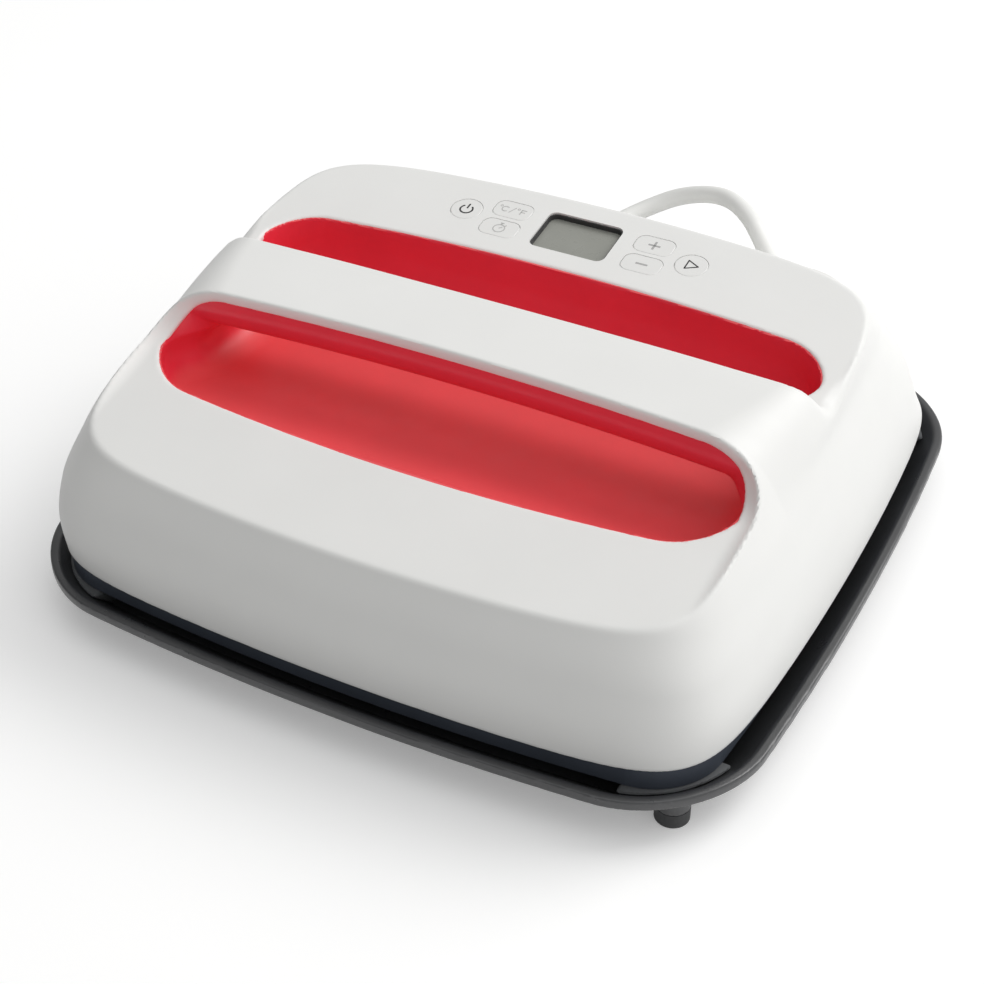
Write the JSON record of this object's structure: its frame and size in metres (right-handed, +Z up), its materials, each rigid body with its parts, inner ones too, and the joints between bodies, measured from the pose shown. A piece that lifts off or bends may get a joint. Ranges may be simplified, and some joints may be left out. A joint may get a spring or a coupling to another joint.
{
  "type": "craft heat press with safety base",
  "caption": "Flat craft heat press with a bar handle over a red finger tunnel, a sloping key panel with display, a mains lead and a dark safety tray on feet.",
  "frame": {"origin": "on the surface the press stands on, under the middle of its safety tray", "axes": "+X to the right as seen from the front, +Y towards the lead at the back, +Z up"},
  "size_m": [0.264, 0.3295, 0.0947],
  "materials": {
    "shell_white": "satin white moulding",
    "key_white": "satin white keycap",
    "liner_red": "satin red moulding",
    "skirt_grey": "matt blue-grey heat-resistant moulding",
    "plate_coated": "cast aluminium with dark non-stick coating",
    "element_foil": "foil heater",
    "felt": "glass-fibre felt",
    "shield_sheet": "bare sheet",
    "ceramic_white": "unglazed",
    "steel_screw": "zinc plated",
    "board_green": "solder-masked board",
    "nylon": "natural nylon",
    "sink_alu": "extruded, anodised",
    "black_resin": "moulded resin",
    "terminal_grey": "moulded",
    "brass": "stamped",
    "lens_smoke": "clear window",
    "lcd_grey": "display glass, off",
    "lead_white": "white flexible sheath",
    "tray_dark": "matt dark heat-resistant moulding",
    "pad_grey": "silicone",
    "foot_rubber": "soft rubber"
  },
  "bodies": {
    "base": {"base_tray": "tray_dark", "corner_pads": "pad_grey", "tray_feet": "foot_rubber", "foot_screws": "steel_screw", "lead_hank": "lead_white", "plug_body": "lead_white", "plug_pins": "brass"},
    "press": {"board_screws": "steel_screw", "board_standoffs": "nylon", "buzzer": "black_resin", "case_screws": "steel_screw", "control_board": "board_green", "display_lens": "lens_smoke", "display_module": "lcd_grey", "earth_tab": "brass", "filter_capacitor": "black_resin", "grip_liner": "liner_red", "handle_cover": "liner_red", "heat_plate": "plate_coated", "heat_shield": "shield_sheet", "heat_sink": "sink_alu", "heating_element": "element_foil", "insulation_blanket": "felt", "lead_strain_relief": "lead_white", "lead_tube": "lead_white", "lower_skirt": "skirt_grey", "plate_screws": "steel_screw", "plate_spacers": "ceramic_white", "power_board": "board_green", "power_triac": "black_resin", "supply_transformer": "black_resin", "tactile_switches": "black_resin", "temperature_sensor": "steel_screw", "terminal_block": "terminal_grey", "thermal_fuse": "steel_screw", "upper_housing": "shell_white"},
    "power_key": {"key_power": "key_white"},
    "units_key": {"key_units": "key_white"},
    "timer_key": {"key_timer": "key_white"},
    "plus_key": {"key_plus": "key_white"},
    "minus_key": {"key_minus": "key_white"},
    "go_key": {"key_go": "key_white"}
  },
  "joints": [
    {"name": "press_lift", "type": "slide", "parent": "base", "child": "press", "axis": [0, 0, 1], "range_m": [0, 0.04]},
    {"name": "power_press", "type": "slide", "parent": "press", "child": "power_key", "axis": [0, 0.1532, -0.9882], "range_m": [0, 0.0007], "stiffness_N_per_m": 900},
    {"name": "units_press", "type": "slide", "parent": "press", "child": "units_key", "axis": [0, 0.1532, -0.9882], "range_m": [0, 0.0007], "stiffness_N_per_m": 900},
    {"name": "timer_press", "type": "slide", "parent": "press", "child": "timer_key", "axis": [0, 0.1532, -0.9882], "range_m": [0, 0.0007], "stiffness_N_per_m": 900},
    {"name": "plus_press", "type": "slide", "parent": "press", "child": "plus_key", "axis": [0, 0.1532, -0.9882], "range_m": [0, 0.0007], "stiffness_N_per_m": 900},
    {"name": "minus_press", "type": "slide", "parent": "press", "child": "minus_key", "axis": [0, 0.1532, -0.9882], "range_m": [0, 0.0007], "stiffness_N_per_m": 900},
    {"name": "go_press", "type": "slide", "parent": "press", "child": "go_key", "axis": [0, 0.1532, -0.9882], "range_m": [0, 0.0007], "stiffness_N_per_m": 900}
  ]
}
